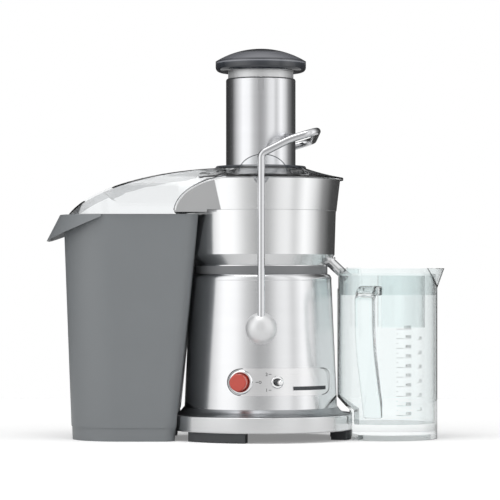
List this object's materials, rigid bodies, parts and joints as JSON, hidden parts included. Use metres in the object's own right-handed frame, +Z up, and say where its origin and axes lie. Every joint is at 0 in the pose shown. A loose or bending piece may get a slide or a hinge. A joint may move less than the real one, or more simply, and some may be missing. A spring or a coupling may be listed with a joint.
{
  "type": "centrifugal juicer",
  "caption": "Centrifugal juicer with a wide feed chute, clamping bail, clear hood over a grey pulp bin and a clear juice jug with lid.",
  "frame": {"origin": "middle of the footprint on the worktop", "axes": "+Z up, the control panel faces -Y, the jug stands at +X and the pulp bin at -X"},
  "size_m": [0.4528, 0.2148, 0.4446],
  "materials": {
    "satin_steel": "satin brushed",
    "cast_silver": "satin",
    "collar_grey": "satin",
    "polished_steel": "polished",
    "knob_silver": "pearl satin",
    "clear_plastic": "clear, glossy, transparent",
    "smoke_plastic": "smoky, glossy",
    "bin_grey": "fine matt",
    "dark_plastic": "matt",
    "neck_grey": "satin",
    "foot_rubber": "matt",
    "seal_rubber": "silicone",
    "button_red": "glossy red",
    "chrome_trim": "mirror",
    "motor_iron": "laminated",
    "copper_wire": "enamelled copper",
    "bright_steel": "ground",
    "carbon": "graphite",
    "board_green": "solder mask"
  },
  "bodies": {
    "machine": {"base_plate": "dark_plastic", "base_ring": "cast_silver", "base_collar": "collar_grey", "rubber_feet": "foot_rubber", "foot_screws": "bright_steel", "cord_inlet_bush": "dark_plastic", "motor_housing": "satin_steel", "top_deck": "neck_grey", "bail_bushes": "dark_plastic", "motor_mounts": "foot_rubber", "lower_motor_bracket": "cast_silver", "upper_motor_bracket": "cast_silver", "motor_tie_rods": "bright_steel", "lower_bearing": "bright_steel", "upper_bearing": "bright_steel", "stator_core": "motor_iron", "field_windings": "copper_wire", "brush_holders": "dark_plastic", "carbon_brushes": "carbon", "thermal_cutout": "dark_plastic", "control_board": "board_green", "board_components": "dark_plastic", "control_panel": "satin_steel", "power_button_ring": "chrome_trim", "power_switch": "dark_plastic", "toggle_bush": "chrome_trim", "toggle_switch": "dark_plastic", "spindle_seal": "foot_rubber", "bowl_seal": "seal_rubber", "filter_bowl": "cast_silver", "bowl_surround": "cast_silver", "juice_nozzle": "cast_silver", "cover": "clear_plastic", "feed_chute": "satin_steel", "chute_flange": "smoke_plastic"},
    "rotor": {"motor_shaft": "bright_steel", "rotor_core": "motor_iron", "rotor_windings": "copper_wire", "commutator": "copper_wire", "cooling_fan": "dark_plastic", "drive_coupling": "bright_steel", "filter_basket": "bright_steel", "basket_rim": "dark_plastic", "cutting_disc": "bright_steel"},
    "pusher": {"pusher_body": "knob_silver", "pusher_cap": "smoke_plastic"},
    "bail": {"bail_rod": "polished_steel", "bail_knobs": "knob_silver", "bail_pins": "bright_steel", "bail_clips": "bright_steel"},
    "power_button": {"power_button": "button_red"},
    "speed_toggle": {"toggle_lever": "chrome_trim", "toggle_boot": "foot_rubber"},
    "jug": {"jug": "clear_plastic", "jug_handle": "clear_plastic"},
    "lid": {"jug_lid": "clear_plastic", "froth_separator": "clear_plastic"},
    "bin": {"pulp_bin": "bin_grey"}
  },
  "joints": [
    {"name": "spindle_spin", "type": "hinge", "parent": "machine", "child": "rotor", "pos_m": [0.01683, 0, 0.198], "axis": [0, 0, 1], "continuous": true},
    {"name": "pusher_lift", "type": "slide", "parent": "machine", "child": "pusher", "axis": [0, 0, 1], "range_m": [0, 0.185]},
    {"name": "bail_swing", "type": "hinge", "parent": "machine", "child": "bail", "pos_m": [0.01683, 0, 0.127], "axis": [0, 1, 0], "range_deg": [0, 95]},
    {"name": "power_button_press", "type": "slide", "parent": "machine", "child": "power_button", "axis": [0.2554, 0.9668, 0], "range_m": [0, 0.004], "stiffness_N_per_m": 300},
    {"name": "speed_toggle_tilt", "type": "hinge", "parent": "machine", "child": "speed_toggle", "pos_m": [0.03447, -0.08445, 0.0672], "axis": [0.9789, 0.2045, 0], "range_deg": [-12, 12]},
    {"name": "jug_slide", "type": "slide", "parent": "machine", "child": "jug", "axis": [1, 0, 0], "range_m": [0, 0.15]},
    {"name": "jug_lid_lift", "type": "slide", "parent": "jug", "child": "lid", "axis": [0, 0, 1], "range_m": [0, 0.075]},
    {"name": "bin_slide", "type": "slide", "parent": "machine", "child": "bin", "axis": [-1, 0, 0], "range_m": [0, 0.2]}
  ]
}
